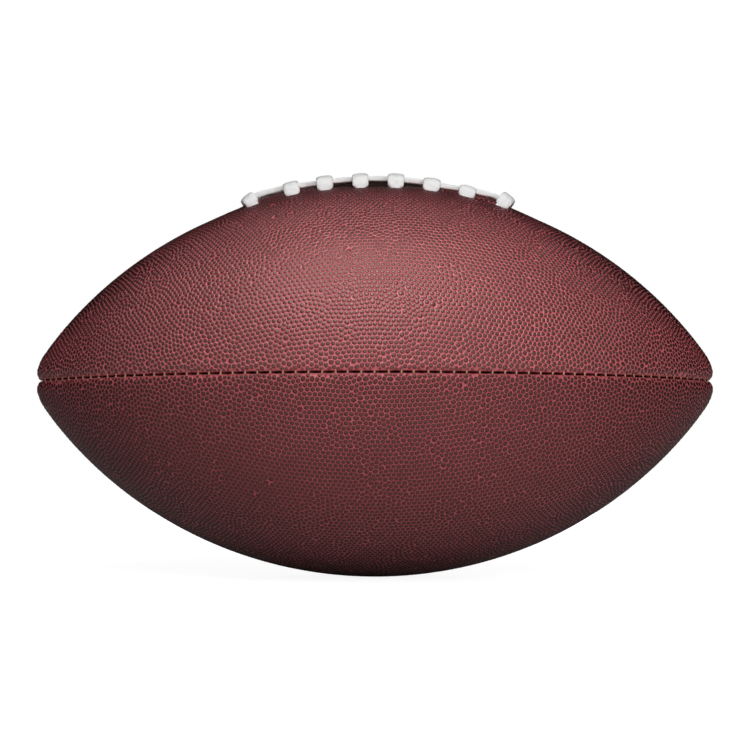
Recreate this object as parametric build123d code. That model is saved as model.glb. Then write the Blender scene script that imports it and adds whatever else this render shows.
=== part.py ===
from build123d import *
import math
import os

# An american football: four sewn cover panels over linings and a rubber bladder, laced on top.
# All sizes are in millimetres. The long axis lies along X, the lacing is on top (+Z),
# the side with the plain middle seam faces -Y, and the ball stands on Z = 0.

# Whole ball
ball_length = 279.4
ball_diameter = 161.0
tip_radius = 20.0

# Cover panels and their sewn seams
cover_thickness = 1.8
seam_gap = 0.9
seam_allowance = 5.0
groove_slope = 0.5
groove_depth_belly = 1.0
groove_depth_tip = 1.8

# Seam thread
stitch_pitch = 4.9
thread_diameter = 0.8
rail_diameter = 1.0
stitch_depth = 2.4
stitch_reach = 150.0

# Inner layers
layer_gap = 0.3
lining_thickness = 1.0
lining_edge = 4.0
facing_thickness = 1.2
facing_width = 18.0
facing_length = 128.0
bladder_wall = 1.0

# Lacing
bar_count = 8
bar_pitch = 15.0
lace_width = 6.7
lace_thickness = 1.75
lace_edge_round = 0.8
eyelet_offset = 16.0
eyelet_clearance = 0.3
bar_rise = 4.72
bar_shoulder = 2.2
shoulder_radius = 3.5
crown_radius = 26.0
strand_underside = 1.4
strand_end_gap = 6.0
strand_bend_radius = 2.5
inner_run_depth = 8.5
inner_run_spread = 0.5
tail_length = 7.0

# Slit under the lacing and the tongue that fills it
slit_half_width = 3.0
tongue_thickness = 0.8
tongue_width = 22.0
tongue_rise = 1.0
tongue_end_drop = 0.6

# Valve
valve_lean = 45.0
stem_radius = 3.0
stem_length = 12.0
stem_recess = 0.25
stem_flange_radius = 9.0
stem_flange_thickness = 1.0
stem_collar_radius = 4.5
stem_collar_thickness = 1.4
needle_bore_radius = 1.25
needle_bore_length = 7.0
core_radius = 2.0
core_clearance = 0.1

# Profile of the ball: one long arc for the belly, one short arc for each tip
belly_radius = ball_diameter / 2
half_gap = seam_gap / 2
lobe_offset = groove_depth_tip / groove_slope
tip_centre = ball_length / 2 - math.sqrt(tip_radius**2 - 2 * lobe_offset**2)
profile_radius = (tip_centre**2 + belly_radius**2 - tip_radius**2) / (2 * (belly_radius - tip_radius))
profile_drop = profile_radius - belly_radius
tip_angle = math.asin(tip_centre / (profile_radius - tip_radius))

# Depths of the layers under the outer surface
lining_top = cover_thickness + layer_gap
lining_bottom = lining_top + lining_thickness
facing_top = lining_bottom + layer_gap
facing_bottom = facing_top + facing_thickness
tongue_top = facing_bottom + layer_gap
tongue_bottom = tongue_top + tongue_thickness
bladder_top = max(seam_allowance, tongue_bottom) + layer_gap

# The ball stands on the two ridges beside its bottom seam
ridge_slope = math.sqrt(groove_slope**2 + 2 * groove_depth_belly / belly_radius) - groove_slope
ridge_offset = belly_radius * ridge_slope
axis_height = math.sqrt(belly_radius**2 - ridge_offset**2)

# Far enough to pass any side of the ball
beyond = ball_length + ball_diameter


def egg_face(inset):
    """Half of the ball's lengthwise section, drawn in by the inset, above the long axis."""
    belly = profile_radius - inset
    tip = tip_radius - inset
    half_turn = (math.pi / 2 - tip_angle) / 2
    joint_x = belly * math.sin(tip_angle)
    joint_z = belly * math.cos(tip_angle) - profile_drop
    bend_x = tip_centre + tip * math.cos(half_turn)
    bend_z = tip * math.sin(half_turn)
    end_x = tip_centre + tip
    outline = [
        ThreePointArc((-joint_x, 0, joint_z), (0, 0, belly_radius - inset), (joint_x, 0, joint_z)),
        ThreePointArc((joint_x, 0, joint_z), (bend_x, 0, bend_z), (end_x, 0, 0)),
        Line((end_x, 0, 0), (-end_x, 0, 0)),
        ThreePointArc((-end_x, 0, 0), (-bend_x, 0, bend_z), (-joint_x, 0, joint_z)),
    ]
    return make_face(outline)


def egg(inset):
    """The whole ball shape, drawn in by the inset."""
    return revolve(egg_face(inset), Axis.X, 360)


def front_upper_quarter(inset, gap):
    """The quarter of the ball shape towards -Y and +Z, held back from both seam planes by the gap."""
    quarter = revolve(egg_face(inset), Axis.X, 90)
    keep = Box(beyond, beyond, beyond, align=(Align.CENTER, Align.MAX, Align.MIN))
    return quarter & Pos(0, -gap, gap) * keep


def top_groove():
    """The valley that the top seam pulls into the cover, deeper towards the tips."""
    reach = 2 * groove_depth_tip
    tip_bottom = tip_radius - groove_depth_tip
    belly_bottom = belly_radius - groove_depth_belly
    join_x = tip_centre + tip_bottom * math.sin(tip_angle)
    join_z = tip_bottom * math.cos(tip_angle)
    fall = belly_bottom - join_z
    bottom_radius = (join_x**2 + fall**2) / (2 * fall)
    bottom_angle = math.degrees(math.asin(join_x / bottom_radius)) + 0.5
    half_width = reach / groove_slope
    valley = Polyline((0, 0), (half_width, reach), (-half_width, reach), close=True)
    valley_face = make_face(valley.edges())
    belly_face = Plane.YZ * Pos(0, belly_bottom) * valley_face
    belly_axis = Axis((0, 0, belly_bottom - bottom_radius), (0, 1, 0))
    groove = revolve(belly_face.rotate(belly_axis, -bottom_angle), belly_axis, 2 * bottom_angle)
    tip_face = Plane.YZ * Pos(0, tip_bottom) * valley_face
    tip_turn = math.degrees(tip_angle) - 0.5
    for side in (-1, 1):
        tip_axis = Axis((side * tip_centre, 0, 0), (0, side, 0))
        start = Pos(side * tip_centre, 0, 0) * tip_face
        groove += revolve(start.rotate(tip_axis, tip_turn), tip_axis, 180 - 2 * tip_turn)
    return groove


def on_top(run, across=0.0, rise=0.0):
    """A place over the lacing: run along the seam, across it, and a height over the outer surface."""
    turn = math.degrees(run / profile_radius)
    return Pos(0, 0, -profile_drop) * Rot(0, turn, 0) * Pos(0, across, profile_radius + rise)


def over_top(radius_change, half_width):
    """A wide drum whose rim follows the top seam, for trimming pieces at a depth under it."""
    drum = Cylinder(profile_radius + radius_change, 2 * half_width, rotation=(90, 0, 0))
    return Pos(0, 0, -profile_drop) * drum


def lens(half_length, half_width):
    """A slim pointed outline, as a slit takes when it is pulled open."""
    near = ThreePointArc((-half_length, 0), (0, -half_width), (half_length, 0))
    far = ThreePointArc((-half_length, 0), (0, half_width), (half_length, 0))
    return make_face([near, far])


def top_slab(length, y_from, y_to):
    """A block over the top of the ball, for cutting strips out of shells."""
    block = Box(length, y_to - y_from, belly_radius, align=(Align.CENTER, Align.MIN, Align.MIN))
    return Pos(0, y_from, belly_radius / 2) * block


bar_runs = [(index - (bar_count - 1) / 2) * bar_pitch for index in range(bar_count)]
strand_end_run = bar_runs[-1] + strand_end_gap
strand_bend_run = strand_end_run - strand_bend_radius
slit_half_length = profile_radius * math.sin(strand_end_run / profile_radius)

# Openings through the layers for the lacing
eyelet_shape = RectangleRounded(
    lace_width + 2 * eyelet_clearance,
    lace_thickness + 2 * eyelet_clearance,
    lace_thickness / 2,
)
eyelet = extrude(eyelet_shape, belly_radius / 4, both=True)
end_opening = Rot(0, 0, 90) * eyelet
front_eyelets = [on_top(run, -eyelet_offset) * eyelet for run in bar_runs]
end_openings = [
    on_top(side * strand_bend_run) * Pos(side * strand_bend_radius, 0, 0) * end_opening for side in (-1, 1)
]
slit_plan = lens(slit_half_length, slit_half_width)
slit = Pos(0, 0, belly_radius) * extrude(slit_plan, belly_radius / 4, both=True)
lacing_openings = front_eyelets + end_openings + [slit]

# Cover panel: outer skin with its two edges turned in along the seams
groove_top = top_groove()
groove_front = Rot(90, 0, 0) * groove_top
panel = front_upper_quarter(0, half_gap)
panel -= [groove_top, groove_front]
panel -= front_upper_quarter(cover_thickness, half_gap + cover_thickness)
panel -= egg(seam_allowance)

# Along the slit the panel edge isn't turned in
flange_trim = egg(cover_thickness + layer_gap) & top_slab(
    2 * slit_half_length + lace_thickness, -(half_gap + 2 * cover_thickness), 0
)
laced_panel = panel - [flange_trim, *lacing_openings]

# Lining under the skin, clear of the turned-in edges
lining = front_upper_quarter(lining_top, lining_edge) - egg(lining_bottom)
laced_lining = lining - lacing_openings

# Facing strip that backs a row of eyelets
facing = top_slab(facing_length, -(lining_edge + facing_width), -lining_edge) & egg(facing_top)
facing -= [egg(facing_bottom), *front_eyelets]

# Tongue between the two rows of eyelets, its crown showing through the slit
tongue_length = 2 * slit_half_length - 4 * lace_thickness
tongue = top_slab(tongue_length, -tongue_width / 2, tongue_width / 2) & egg(tongue_top)
tongue -= egg(tongue_bottom)
crown_half_length = slit_half_length - 2 * lace_thickness
crown_plan = lens(crown_half_length, slit_half_width * crown_half_length / slit_half_length - layer_gap)
crown = Pos(0, 0, belly_radius) * extrude(crown_plan, belly_radius / 4, both=True)
crown_fall = profile_radius - math.sqrt(profile_radius**2 - crown_half_length**2)
crown_fall += tongue_rise + tongue_end_drop
crown_top_radius = (crown_half_length**2 + crown_fall**2) / (2 * crown_fall)
crown_drum = Cylinder(crown_top_radius, tongue_width, rotation=(90, 0, 0))
crown &= Pos(0, 0, belly_radius + tongue_rise - crown_top_radius) * crown_drum
crown -= egg((tongue_top + tongue_bottom) / 2)
tongue += crown


def bar():
    """One cross bar of lace: up out of one eyelet, over the strand and down into the other."""
    apex = bar_rise + crown_radius * (math.hypot(1, (bar_rise - bar_shoulder) / eyelet_offset) - 1)
    corners = [
        (0, -eyelet_offset, -inner_run_depth),
        (0, -eyelet_offset, bar_shoulder),
        (0, 0, apex),
        (0, eyelet_offset, bar_shoulder),
        (0, eyelet_offset, -inner_run_depth),
    ]
    path = FilletPolyline(*corners, radius=(shoulder_radius, crown_radius, shoulder_radius))
    section = RectangleRounded(lace_width, lace_thickness, lace_edge_round)
    return sweep(Pos(*corners[0]) * section, path=path)


def long_strand():
    """The length of lace that lies along the seam and bends down into the ball at both ends."""
    middle = strand_underside + lace_thickness / 2
    height = profile_radius + middle - strand_bend_radius
    leg = middle - strand_bend_radius + inner_run_depth
    turn = strand_bend_run / profile_radius
    out_x = math.sin(turn)
    out_z = math.cos(turn)
    bend_x = height * out_x
    bend_z = height * out_z - profile_drop
    slant = math.sqrt(0.5)
    route = []
    for side in (-1, 1):
        over = (side * (bend_x + strand_bend_radius * out_x), 0, bend_z + strand_bend_radius * out_z)
        past_x = bend_x + strand_bend_radius * slant * (out_x + out_z)
        past = (side * past_x, 0, bend_z + strand_bend_radius * slant * (out_z - out_x))
        foot_x = bend_x + strand_bend_radius * out_z
        foot_z = bend_z - strand_bend_radius * out_x
        foot = (side * foot_x, 0, foot_z)
        end = (side * (foot_x - leg * out_x), 0, foot_z - leg * out_z)
        route.append((end, foot, past, over))
    left, right = route
    path = Wire(
        [
            Line(left[0], left[1]).edge(),
            ThreePointArc(left[1], left[2], left[3]).edge(),
            ThreePointArc(left[3], (0, 0, belly_radius + middle), right[3]).edge(),
            ThreePointArc(right[3], right[2], right[1]).edge(),
            Line(right[1], right[0]).edge(),
        ]
    )
    section_plane = Plane(origin=left[0], x_dir=(0, 1, 0), z_dir=(-out_x, 0, out_z))
    section = section_plane * RectangleRounded(lace_width, lace_thickness, lace_edge_round)
    return sweep(section, path=path)


def inner_run(place, start, end):
    """A length of lace inside the ball, pressed wider, between two places in the plane of the run."""
    along = Vector(*end) - Vector(*start)
    middle = (Vector(*end) + Vector(*start)) / 2
    angle = math.degrees(math.atan2(along.Y, along.X))
    shape = SlotCenterToCenter(along.length, lace_width + inner_run_spread)
    flat = extrude(shape, lace_thickness / 2, both=True)
    return place * Pos(middle.X, middle.Y, -inner_run_depth) * Rot(0, 0, angle) * flat


# Lace: one length from the tail of the long strand to the tail after the last bar
bars = [on_top(run) * bar() for run in bar_runs]
inner_runs = []
for index in range(1, bar_count):
    middle_run = (bar_runs[index] + bar_runs[index - 1]) / 2
    start = (bar_pitch / 2, eyelet_offset)
    end = (-bar_pitch / 2, -eyelet_offset)
    inner_runs.append(inner_run(on_top(middle_run), start, end))
last_bar = on_top(bar_runs[-1])
first_bar = on_top(bar_runs[0])
inner_runs.append(inner_run(last_bar, (strand_end_gap, 0), (0, -eyelet_offset)))
inner_runs.append(inner_run(first_bar, (-strand_end_gap, 0), (-strand_end_gap - tail_length, 0)))
inner_runs.append(inner_run(first_bar, (0, eyelet_offset), (-tail_length, eyelet_offset)))

strand = long_strand()

lace_gaps = [strand.distance_to(one) for one in bars]
lace_gaps += [one.distance_to(two) for one, two in zip(bars[:-1], bars[1:])]
lace_gaps += [one.distance_to(two) for one, two in zip(inner_runs[:-4], inner_runs[1:-3])]
lace = strand.fuse(*bars, *inner_runs)


def seam_thread(first_run, last_run):
    """Thread of one stretch of the top seam: rungs across the gap between doubled rails under the skin."""
    rail_offset = half_gap + cover_thickness + (layer_gap + rail_diameter) / 2
    axis = Axis((0, 0, -profile_drop), (0, 1, 0))
    start = math.degrees(first_run / profile_radius)
    turn = math.degrees((last_run - first_run) / profile_radius)
    rungs = math.floor((last_run - first_run) / stitch_pitch)
    spare = (last_run - first_run - rungs * stitch_pitch) / 2
    pieces = []
    for side in (-1, 1):
        section = Plane.YZ * Pos(side * rail_offset, belly_radius - stitch_depth) * Circle(rail_diameter / 2)
        pieces.append(revolve(section.rotate(axis, start), axis, turn))
    for index in range(rungs + 1):
        place = on_top(first_run + spare + index * stitch_pitch, 0, -stitch_depth)
        pieces.append(place * Cylinder(thread_diameter / 2, 2 * rail_offset, rotation=(90, 0, 0)))
    return pieces[0].fuse(*pieces[1:])


full_thread = seam_thread(-stitch_reach, stitch_reach)
side_thread_start = strand_end_run + 2 * lace_thickness
right_thread = seam_thread(side_thread_start, stitch_reach)

# Valve, in the middle of the lower panel at the back
valve_place = Rot(-90 - valve_lean, 0, 0)


def valve_disc(radius, depth_from, depth_to):
    """A round piece on the valve's axis between two depths under the outer surface."""
    height = depth_to - depth_from
    disc = Cylinder(radius, height, align=(Align.CENTER, Align.CENTER, Align.MAX))
    return valve_place * Pos(0, 0, belly_radius - depth_from) * disc


valve_opening = valve_disc(stem_radius + layer_gap, -belly_radius / 8, stem_length + belly_radius / 8)
stem_end = stem_recess + stem_length
core_top = stem_recess + needle_bore_length
flange_bottom = bladder_top - layer_gap
collar_top = bladder_top + bladder_wall + layer_gap
valve_stem = valve_disc(stem_radius, stem_recess, stem_end)
valve_stem += valve_disc(stem_flange_radius, flange_bottom - stem_flange_thickness, flange_bottom)
valve_stem += valve_disc(stem_collar_radius, collar_top, collar_top + stem_collar_thickness)
valve_stem -= valve_disc(needle_bore_radius, stem_recess, core_top)
valve_stem -= valve_disc(core_radius + core_clearance, core_top, stem_end)
valve_core = valve_disc(core_radius, core_top + core_clearance, stem_end)


def bladder_space(depth, side_margin):
    """The ball shape at a depth, dented where the lacing runs inside."""
    half_width = eyelet_offset + (lace_width + inner_run_spread) / 2 + side_margin
    half_length = slit_half_length + tail_length + (lace_width + inner_run_spread) / 2 + side_margin
    run_bottom = inner_run_depth + lace_thickness / 2 + depth - bladder_top + layer_gap
    dent = top_slab(2 * half_length, -half_width, half_width)
    dent -= over_top(-run_bottom, 2 * half_width)
    return egg(depth) - dent


bladder = bladder_space(bladder_top, layer_gap)
bladder -= bladder_space(bladder_top + bladder_wall, layer_gap + bladder_wall)
bladder -= valve_opening

lower_panel = mirror(panel, Plane.XY)
lower_lining = mirror(lining, Plane.XY)

nodes = {
    "cover_front_upper": laced_panel,
    "cover_front_lower": lower_panel,
    "cover_rear_upper": mirror(laced_panel, Plane.XZ),
    "cover_rear_lower": mirror(lower_panel, Plane.XZ) - valve_opening,
    "lining_front_upper": laced_lining,
    "lining_front_lower": lower_lining,
    "lining_rear_upper": mirror(laced_lining, Plane.XZ),
    "lining_rear_lower": mirror(lower_lining, Plane.XZ) - valve_opening,
    "seam_thread_front": Rot(90, 0, 0) * full_thread,
    "seam_thread_rear": Rot(-90, 0, 0) * full_thread,
    "seam_thread_bottom": Rot(180, 0, 0) * full_thread,
    "seam_thread_top_left": mirror(right_thread, Plane.YZ),
    "seam_thread_top_right": right_thread,
    "lace": lace,
    "lace_facing_front": facing,
    "lace_facing_rear": mirror(facing, Plane.XZ),
    "lace_tongue": tongue,
    "bladder": bladder,
    "valve_stem": valve_stem,
    "valve_core": valve_core,
}

os.makedirs("parts", exist_ok=True)
for name, shape in nodes.items():
    export_step(Pos(0, 0, axis_height) * shape, f"parts/{name}.step")
    print(name, len(shape.solids()), "solid", round(shape.volume / 1000, 2), "cm3")

print("least gap of the lace to itself", round(min(lace_gaps), 3), "mm")
print("long axis above the ground", round(axis_height, 3), "mm")
print("profile radius", round(profile_radius, 3), "mm")
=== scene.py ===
import math

import bpy
import numpy as np
from bpy.props import FloatProperty, FloatVectorProperty, IntProperty, PointerProperty
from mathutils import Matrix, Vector, noise
from mathutils.geometry import delaunay_2d_cdt
from mathutils.kdtree import KDTree


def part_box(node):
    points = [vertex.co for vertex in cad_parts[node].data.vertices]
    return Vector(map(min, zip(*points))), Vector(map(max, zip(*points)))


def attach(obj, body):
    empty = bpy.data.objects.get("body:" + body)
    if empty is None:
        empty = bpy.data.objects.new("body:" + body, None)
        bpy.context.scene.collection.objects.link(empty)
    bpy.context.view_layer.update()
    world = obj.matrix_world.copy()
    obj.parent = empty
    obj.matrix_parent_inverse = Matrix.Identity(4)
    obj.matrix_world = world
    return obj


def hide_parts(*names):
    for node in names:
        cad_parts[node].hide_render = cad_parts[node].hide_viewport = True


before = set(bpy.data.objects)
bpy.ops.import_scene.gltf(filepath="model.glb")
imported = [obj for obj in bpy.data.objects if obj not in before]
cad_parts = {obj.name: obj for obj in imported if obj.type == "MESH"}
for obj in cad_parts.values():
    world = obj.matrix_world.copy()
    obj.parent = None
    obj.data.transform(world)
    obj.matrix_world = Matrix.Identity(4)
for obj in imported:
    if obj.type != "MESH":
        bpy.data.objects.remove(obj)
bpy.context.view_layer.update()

bl_info = {
    "name": "Laced Football",
    "version": (1, 0, 0),
    "blender": (4, 5, 0),
    "location": "View3D > Sidebar > Football",
    "description": "Dresses a laced football: pebbled cover, sewn seams, lacing and stage",
    "category": "Object",
}

MM = 0.001
BODY = "root"

# The ball's long axis runs through the middle of the front seam
front_seam_low, front_seam_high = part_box("seam_thread_front")
AXIS_HEIGHT = (front_seam_low.z + front_seam_high.z) / 2

# The lacing's cross bars: place along the top seam, lean in degrees, height, and breadth against the lace
BARS = [
    (-51.3 * MM, -24.0, 4.9 * MM, 0.88),
    (-34.1 * MM, -3.0, 5.5 * MM, 0.96),
    (-20.5 * MM, 0.0, 5.7 * MM, 1.0),
    (-5.9 * MM, 0.0, 5.5 * MM, 0.98),
    (8.5 * MM, 0.0, 5.6 * MM, 1.0),
    (23.1 * MM, 0.0, 5.1 * MM, 1.04),
    (37.9 * MM, 3.0, 4.6 * MM, 1.04),
    (53.2 * MM, 24.0, 5.8 * MM, 0.90),
]
BAR_RUNS = [bar[0] for bar in BARS]
BAR_RINGS = 96
BAR_SQUARENESS = 2.7

# How a bar gathers towards its eyelets: from how deep, over what height, and to what share
GATHER_START = 1.9 * MM
GATHER_REACH = 1.5 * MM
GATHERED = 0.62

# The lace's long strand and its loose end: places along the top seam and heights over it, in millimetres
STRAND = [
    (-52.0, -5.0), (-52.0, 1.5), (-50.5, 4.0), (-44.0, 4.2), (-26.0, 3.5), (0.0, 3.9),
    (17.0, 3.6), (31.0, 2.8), (45.0, 3.9), (52.0, 3.6), (53.0, 1.5), (53.0, -5.0),
]
LOOSE_END = [(-49.5, 1.4), (-46.5, 2.0), (-40.5, 2.0), (-37.0, 1.2)]
STRAND_THICKNESS = 2.3 * MM
LOOSE_END_THICKNESS = 0.5 * MM
LOOSE_END_BREADTH = 1.15

# How finely the lace is drawn, its waves along the strand and its lumps
STRIP_RINGS = 260
STRIP_SQUARENESS = 6.0
STRIP_WAVES = (1.3 * MM, 2.1 * MM, 3.7 * MM)
STRIP_WAVE_SHARE = 0.03
SMOOTH_ROUNDS = 3
LACE_SEED = 31
LACE_SIDES = 32
LACE_LUMP = 0.13 * MM
LACE_LUMP_SIZE = 0.9 * MM

# How far the lacing lifts the cover beside the slit, at runs along it
LIFT_RUNS = [run * MM for run in (-68, -57, -45, -30, -15, 0, 15, 30, 45, 57, 68)]
LIFTS = [lift * MM for lift in (0.0, 0.8, 2.5, 2.1, 0.5, -0.3, 0.8, 2.3, 2.9, 1.0, 0.0)]
LIFT_REACH = 15.0 * MM

# Dents of the cover at the eyelets, their length and breadth in widths of the lace, the painted shade in
# them, and the fold between the last two, which takes that painted shade too
DENT_DEPTH = 0.7 * MM
DENT_LENGTH = 0.75
DENT_BREADTH = 0.5
DENT_SHADE = 0.8
FOLD_DEPTH = 1.0 * MM
FOLD_WIDTH = 1.5 * MM
FOLD_FADE = 3.0 * MM

# Seams: reach of their valley, how the lips draw together at the tips and wave with the stitches, and
# the lips' rolled edge in shares of its rounding, and reach of the painted shade at a tucked edge
GROOVE_REACH = 1.3
LIP_DRAW = 0.4
LIP_MEAN = 0.78
LIP_WAVE = 0.28
LIP_POINTS = 681
LIP_ROLL = ((1.0, 0.0), (0.3, 0.35), (0.0, 1.3))
CREASE_SHADE_REACH = 0.45 * MM

# Grain of the cover: how its pebbles are set out, pushed apart, sized and flattened
ROWS_REACH = 66.0 * MM
PEBBLE_MARGIN = 0.40 * MM
PEBBLE_SHAKE = 0.27
PUSH_REACH = 1.02
PUSH_LOOK = 1.5
PUSH_SWEEPS = 24
PUSH_REFRESH = 4
PUSH_SHARE = 0.22
PEBBLE_SIZES = (0.92, 1.06)
PEBBLE_HEIGHTS = (0.85, 1.0)
SHOULDER_REACH = 0.7
SHOULDER_HEIGHT = 0.80
SHOULDER_VALUE = 0.6
FLATTENING = 0.6
FLAT_TIP_START = 0.6
FLAT_TIP_SPAN = 0.35
CROWN_TURN = math.radians(54.0)

# Bare rim round the valve's opening
VALVE_RIM = 0.9 * MM
VALVE_POINTS = 40

# Middle of a panel between its two seams, sine at which its edges meet, hold of its edge, and flat maps
MIDDLE_TURN = math.pi / 4
CORNER_SINE = 0.7071
EDGE_HOLD = 0.9
MAP_END = 0.3 * MM
MAP_POINTS = 4001
MAP_MARGIN = 0.005

# Stitches: seed of their shake, rings and sides of each ply, their rise, fall and dip over the lips, and
# how far from the slit they stop
STITCH_SEED = 21
STITCH_RINGS = 11
STITCH_SIDES = 7
STITCH_REACH = (0.75 * MM, 0.95 * MM)
STITCH_SLANT = 0.12
STITCH_SHAKE = 0.03
STITCH_RISE = 0.22 * MM
STITCH_FALL = 0.7 * MM
STITCH_DIP = 0.12 * MM
STITCH_FLOOR = 0.45 * MM
STITCH_TWIST = 1.9 / MM
PLY_OFFSET = 0.8
LACING_MARGIN = 5.5 * MM

# Tongue in the slit: its ends, its hidden edges, its fall and its bulge
TONGUE_END = 3.5 * MM
TONGUE_HEM = 1.4 * MM
TONGUE_SINK = 2.4 * MM
TONGUE_COVER = 0.5 * MM
TONGUE_END_FALL = 5.0 * MM
TONGUE_BULGE_REACH = 50.0 * MM
TONGUE_BULGE_POWER = 1.4
TONGUE_ROUNDNESS = 3.0
TONGUE_RINGS = 121
TONGUE_SIDES = 21

# Soft lamps: name, power setting, whether the leather mirrors it, degrees right of the camera's side,
# degrees over the horizon, distance, width and height
LAMPS = [
    ("front_softbox", "front_power", False, 17.0, 13.0, 0.75, 0.5, 0.4),
    ("rear_softbox", "rear_power", False, 170.0, 6.0, 0.75, 0.5, 0.4),
    ("key_softbox", "key_power", True, -6.0, 49.0, 0.85, 0.45, 0.36),
]

# Floor: half its side, where it pales with distance, and where it and the surround show white in shine
FLOOR_REACH = 6.0
FLOOR_PALING = (0.24, 0.64)
FLOOR_BEHIND = (0.8, 1.2)
SURROUND_BEHIND = (0.9409, 0.9864)

# Looks of the leather: painted shade growing by squared distance from the belly, steps of a pebble's
# painted flank shade and top, tones of its duller patches, share of painted shade on pebbles by the upright
# seams, share and tone of painted shade at its tucked edges, and swing of its gloss
TIP_GROWTH = 60.0
TIP_START = 0.05
FLANK_SHADE_STEP = (0.17, 0.337)
TOP_STEP = (0.60, 0.80)
RAGGED_SHARE = 0.1
DULL_VALLEY = 0.78
DULL_PEBBLE = 0.7
CROWN_SHADE_SHARE = 1.6
CREASE_SHADE_SHARE = 0.6
CREASE_SHADE_TONE = 0.3
GLOSS_SWING = 0.16

# Second and third colours of the thread and of the lace
THREAD_DARK = (0.48, 0.21, 0.14, 1.0)
THREAD_WORN = (0.35, 0.14, 0.083, 1.0)
THREAD_TIP_START = 0.35
LACE_SHADE = (0.92, 0.925, 0.92, 1.0)
LACE_SPECK = (0.88, 0.875, 0.865, 1.0)
WHITE = (1.0, 1.0, 1.0, 1.0)

# Each cover panel: its node, its sides of the two seam planes, and a seed for its grain
PANELS = [
    ("cover_front_upper", -1, 1, 11),
    ("cover_front_lower", -1, -1, 12),
    ("cover_rear_upper", 1, 1, 13),
    ("cover_rear_lower", 1, -1, 14),
]


def size_setting(name, description, default):
    """A length that a user can change"""
    return FloatProperty(name=name, description=description, default=default, unit="LENGTH", precision=5)


def colour_setting(name, description, default):
    """A colour that a user can change"""
    return FloatVectorProperty(
        name=name, description=description, default=(*default, 1.0), subtype="COLOR", size=4)


def factor_setting(name, description, default):
    """A share or tone that a user can change"""
    return FloatProperty(name=name, description=description, default=default, subtype="FACTOR")


def power_setting(name, description, default):
    """A lamp's power that a user can change"""
    return FloatProperty(name=name, description=description, default=default, unit="POWER")


class BallShape(bpy.types.PropertyGroup):
    """Main sizes of the ball and of its sewn seams"""

    length: size_setting("Length", "Tip to tip", 0.2794)
    diameter: size_setting("Diameter", "Across the belly", 0.161)
    tip_radius: size_setting("Tip radius", "Rounding of each tip", 0.020)
    seam_gap: size_setting("Seam gap", "Gap between two panels", 0.0007)
    seam_depth: size_setting("Seam wall", "How far the turned-in edges reach down", 0.003)
    lip_round: size_setting("Lip rounding", "Rounding of a panel's edge at a seam", 0.00035)
    groove_slope: factor_setting("Groove slope", "Fall of the cover towards a seam", 0.5)
    groove_belly: size_setting("Groove at belly", "Depth of a seam's valley at the belly", 0.0010)
    groove_tip: size_setting("Groove at tips", "Depth of a seam's valley at the tips", 0.0018)
    slit_half_width: size_setting("Slit half width", "Half the width of the laced slit", 0.003)
    slit_half_length: size_setting("Slit half length", "Half the length of the laced slit", 0.0575)
    valve_radius: size_setting("Valve opening", "Radius of the hole over the valve", 0.0033)


class CoverFinish(bpy.types.PropertyGroup):
    """Pebbled grain and colours of the cover"""

    spacing: size_setting("Pebble spacing", "Distance between pebbles", 0.00195)
    pebble_radius: size_setting("Pebble radius", "Radius of a pebble's dark top", 0.00068)
    pebble_height: size_setting("Pebble height", "Height of a full pebble over the valleys", 0.00056)
    valley_colour: colour_setting("Valleys", "Colour between the pebbles", (0.755, 0.166, 0.186))
    # Painted shade of the pebbles' steep sides, also used for the painted shade at tucked edges
    flank_shade_colour: colour_setting("Pebble rims", "Colour round the pebbles' tops", (0.120, 0.0185, 0.022))
    pebble_colour: colour_setting("Pebbles", "Colour of the worn pebble tops", (0.172, 0.092, 0.081))
    sheen_colour: colour_setting("Sheen", "Colour of the polished leather's shine", (1.0, 0.62, 0.62))
    # Lit and shaded copies of one leather: the lower panels' darker tone is painted shade, and the upper
    # pebble tops' lighter tone a painted sheen
    lower_shade_tone: factor_setting("Lower panels", "Tone of the lower panels against the upper ones", 0.72)
    lower_pebble_shade_tone: factor_setting(
        "Lower pebbles", "Tone of the lower panels' pebble tops against the upper ones", 0.70)
    # Painted shade on the valleys towards the tips
    tip_shade_tone: factor_setting("Tips", "Tone of the valleys at the handled tips", 0.95)
    # Painted light on the valleys beside the upright seams, and painted shade on the pebbles there and at
    # the tips
    crown_light_tone: factor_setting("Upright seams", "Tone of the valleys beside the upright seams", 1.2)
    edge_shade_tone: factor_setting(
        "Far pebbles", "Tone of the pebbles at the tips and beside the upright seams", 0.12)
    shine: factor_setting("Shine", "Strength of the upper panels' shine", 1.0)
    lower_shine: factor_setting("Lower shine", "Strength of the duller lower panels' shine", 0.4)
    valley_roughness: factor_setting("Valley roughness", "Gloss between the pebbles", 0.42)
    pebble_roughness: factor_setting("Pebble roughness", "Gloss of the pebble tops", 0.36)


class ThreadFinish(bpy.types.PropertyGroup):
    """Stitches of the sewn seams"""

    pitch: size_setting("Stitch pitch", "Distance between stitches", 0.0049)
    ply_radius: size_setting("Ply radius", "Radius of each of the two twisted plies", 0.00021)
    reach: size_setting("Seam reach", "How far the stitches run to each side of the belly", 0.157)
    colour: colour_setting("Thread", "Colour of the thread", (0.72, 0.33, 0.26))
    # Painted shade on the thread at the tips
    tip_shade_tone: factor_setting("Thread at tips", "Tone of the thread where it sinks in at the tips", 0.35)


class LaceFinish(bpy.types.PropertyGroup):
    """Lace, its cross bars and the tongue under it"""

    width: size_setting("Lace width", "Width of the flat lace", 0.0067)
    thickness: size_setting("Lace thickness", "Thickness of the flat lace", 0.0021)
    foot_offset: size_setting("Eyelet offset", "Distance of the eyelets from the seam", 0.016)
    colour: colour_setting("Lace", "Colour of the lace", (0.95, 0.955, 0.95))
    tongue_rise: size_setting("Tongue rise", "Height of the tongue over the slit", 0.0029)
    # The tongue's near-black colour is painted shade under the strand
    tongue_shade_colour: colour_setting("Tongue", "Colour of the tongue", (0.014, 0.008, 0.007))


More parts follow.
